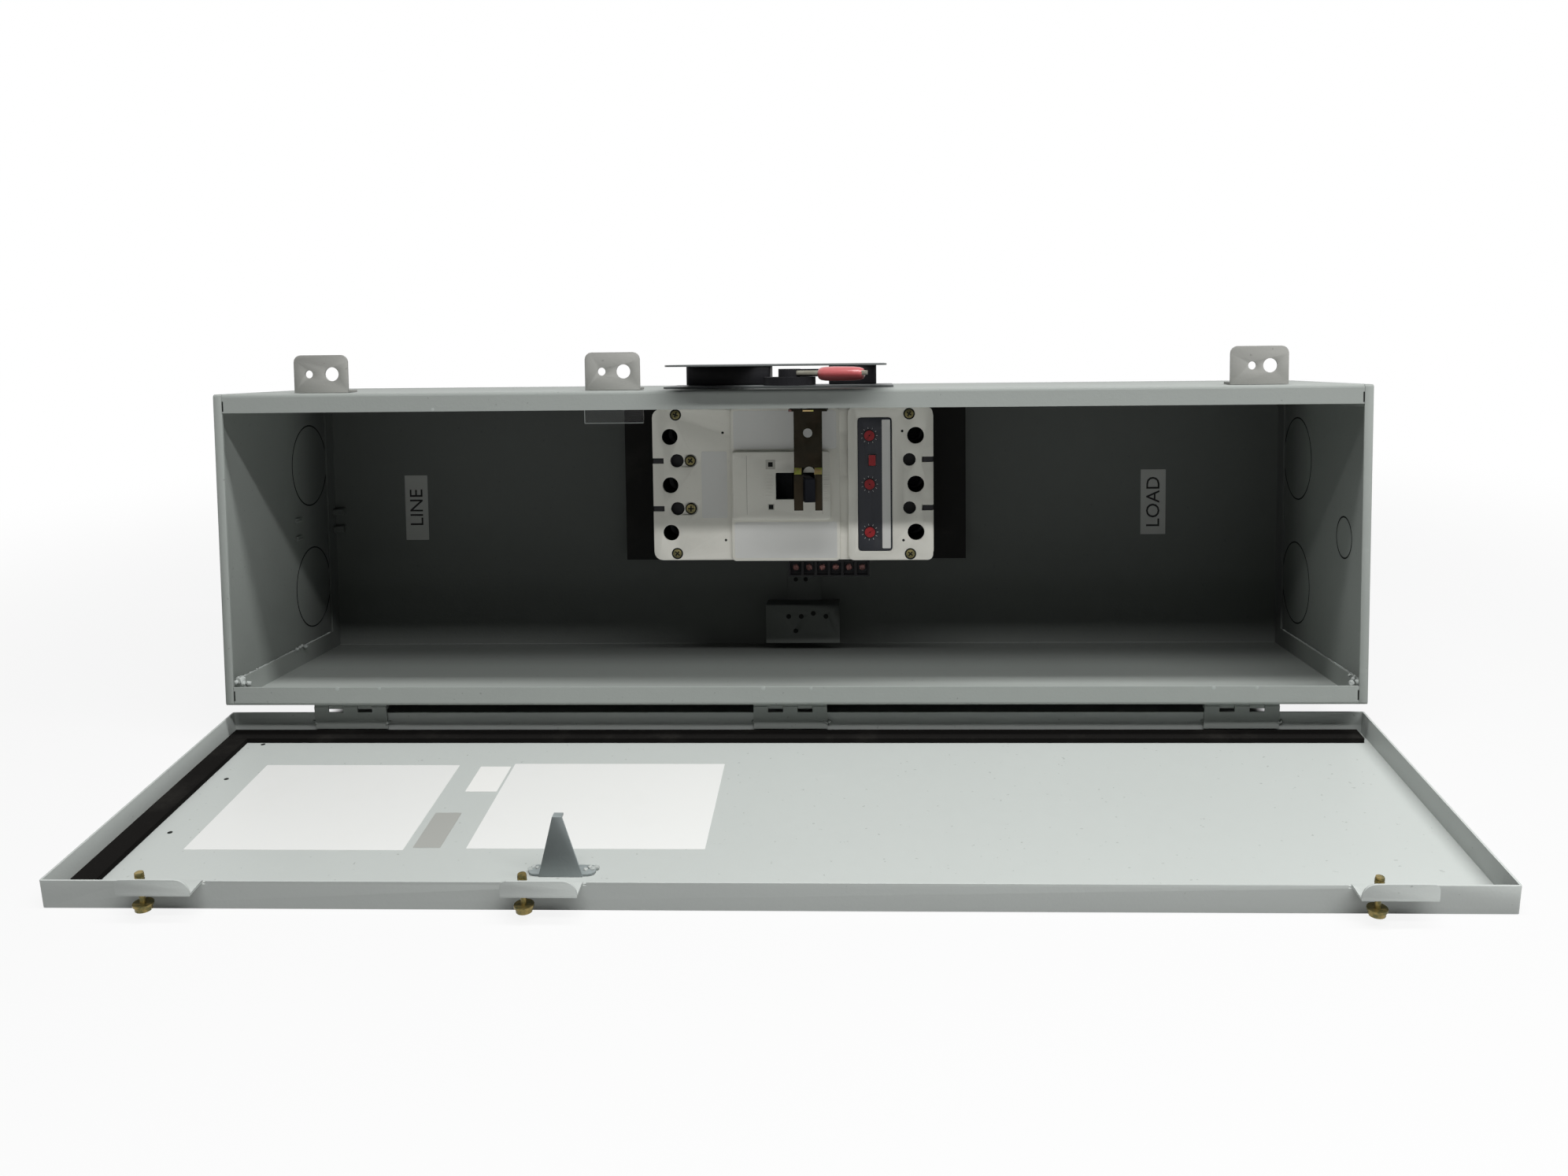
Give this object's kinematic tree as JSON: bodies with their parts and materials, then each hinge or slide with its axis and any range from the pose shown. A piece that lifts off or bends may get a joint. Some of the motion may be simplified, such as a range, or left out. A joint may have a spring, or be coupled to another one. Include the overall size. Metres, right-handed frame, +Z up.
{
  "type": "enclosed circuit breaker cabinet",
  "caption": "Sheet-steel wall cabinet for a moulded-case circuit breaker, shown lying on its hinge side with its gasketed door open and its side handle at OFF.",
  "frame": {"origin": "centre of the bounding box's footprint, on the floor plane that the open door and the cabinet's rear lower edge rest on", "axes": "+X along the cabinet's long side from the LINE end to the LOAD end, +Z up; the cabinet leans back 8.37 degrees about X"},
  "size_m": [0.969, 0.5442, 0.3244],
  "materials": {
    "paint": "semi-gloss grey-green paint",
    "door_paint": "semi-gloss light grey paint",
    "steel": "bright zinc",
    "zinc_yellow": "yellow passivated zinc",
    "foam": "closed-cell foam",
    "grey_moulding": "moulded, fine texture",
    "black_moulding": "moulded",
    "panel": "dark blue-grey",
    "red_plastic": "moulded",
    "vinyl_grip": "dipped vinyl",
    "clear_sheet": "clear polycarbonate",
    "aluminium": "plain"
  },
  "bodies": {
    "cabinet": {"wrapper_shell": "paint", "line_end_plate": "paint", "load_end_plate": "paint", "ground_bracket": "paint", "handle_base": "paint", "handle_face_plate": "paint", "hinge_pin_1": "steel", "hinge_pin_2": "steel", "hinge_pin_3": "steel", "line_mounting_rail": "steel", "load_mounting_rail": "steel", "mechanism_frame": "steel", "yoke_guide": "steel", "insulating_plate": "black_moulding", "breaker_base": "black_moulding", "handle_housing_left": "black_moulding", "handle_housing_right": "black_moulding", "terminal_strip": "black_moulding", "breaker_cover": "grey_moulding", "cover_deck": "grey_moulding", "toggle_escutcheon": "grey_moulding", "trip_unit_cover": "grey_moulding", "trip_panel": "panel", "terminal_shield": "clear_sheet", "latch_tab_1": "door_paint", "hinge_box_leaf_1": "paint", "line_lug_1": "aluminium", "load_lug_1": "aluminium", "latch_tab_2": "door_paint", "hinge_box_leaf_2": "paint", "line_lug_2": "aluminium", "load_lug_2": "aluminium", "latch_tab_3": "door_paint", "hinge_box_leaf_3": "paint", "line_lug_3": "aluminium", "load_lug_3": "aluminium"},
    "door": {"door_pan": "door_paint", "gasket_hinge_side": "foam", "gasket_line_end": "foam", "gasket_latch_side": "foam", "hinge_door_leaf_1": "paint", "hinge_door_leaf_2": "paint", "hinge_door_leaf_3": "paint", "interlock_bracket": "door_paint"},
    "handle": {"handle_hub": "black_moulding", "handle_lever": "steel", "handle_grip": "vinyl_grip", "handle_shaft": "steel"},
    "toggle": {"toggle": "black_moulding"},
    "yoke": {"yoke": "zinc_yellow"},
    "trip_button": {"trip_button": "red_plastic"},
    "captive_screw_1": {"captive_screw_1": "zinc_yellow"},
    "trip_dial_1": {"trip_dial_1": "red_plastic"},
    "captive_screw_2": {"captive_screw_2": "zinc_yellow"},
    "trip_dial_2": {"trip_dial_2": "red_plastic"},
    "captive_screw_3": {"captive_screw_3": "zinc_yellow"},
    "trip_dial_3": {"trip_dial_3": "red_plastic"}
  },
  "joints": [
    {"name": "door_hinge", "type": "hinge", "parent": "cabinet", "child": "door", "pos_m": [0, 0.02047, 0.026], "axis": [1, 0, 0], "range_deg": [-98.37, 80]},
    {"name": "handle_turn", "type": "hinge", "parent": "cabinet", "child": "handle", "pos_m": [-0.0015, 0.13099, 0.28265], "axis": [0, 0.1455, 0.9894], "range_deg": [-140, 0]},
    {"name": "yoke_slide", "type": "slide", "parent": "cabinet", "child": "yoke", "axis": [1, 0, 0], "range_m": [-0.028, 0]},
    {"name": "toggle_rock", "type": "hinge", "parent": "cabinet", "child": "toggle", "pos_m": [0.0023, 0.16044, 0.18735], "axis": [0, 0.1455, 0.9894], "range_deg": [-22.75, 0]},
    {"name": "trip_button_push", "type": "slide", "parent": "cabinet", "child": "trip_button", "axis": [0, 0.9894, -0.1455], "range_m": [0, 0.0015], "stiffness_N_per_m": 200, "springref_m": -0.001},
    {"name": "trip_dial_1_turn", "type": "hinge", "parent": "cabinet", "child": "trip_dial_1", "pos_m": [0.0696, 0.14344, 0.23533], "axis": [0, 0.9894, -0.1455], "range_deg": [-173, 97]},
    {"name": "trip_dial_2_turn", "type": "hinge", "parent": "cabinet", "child": "trip_dial_2", "pos_m": [0.0696, 0.13696, 0.19131], "axis": [0, 0.9894, -0.1455], "range_deg": [-103, 167]},
    {"name": "trip_dial_3_turn", "type": "hinge", "parent": "cabinet", "child": "trip_dial_3", "pos_m": [0.0696, 0.13056, 0.14778], "axis": [0, 0.9894, -0.1455], "range_deg": [-187, 83]},
    {"name": "captive_screw_1_slide", "type": "slide", "parent": "door", "child": "captive_screw_1", "axis": [0, 0, 1], "range_m": [0, 0.006]},
    {"name": "captive_screw_2_slide", "type": "slide", "parent": "door", "child": "captive_screw_2", "axis": [0, 0, 1], "range_m": [0, 0.006]},
    {"name": "captive_screw_3_slide", "type": "slide", "parent": "door", "child": "captive_screw_3", "axis": [0, 0, 1], "range_m": [0, 0.006]}
  ],
  "couplings": [
    {"joint": "yoke_slide", "follows": "handle_turn", "m_per_rad": 0.011459},
    {"joint": "toggle_rock", "follows": "handle_turn", "ratio": 0.16246}
  ]
}
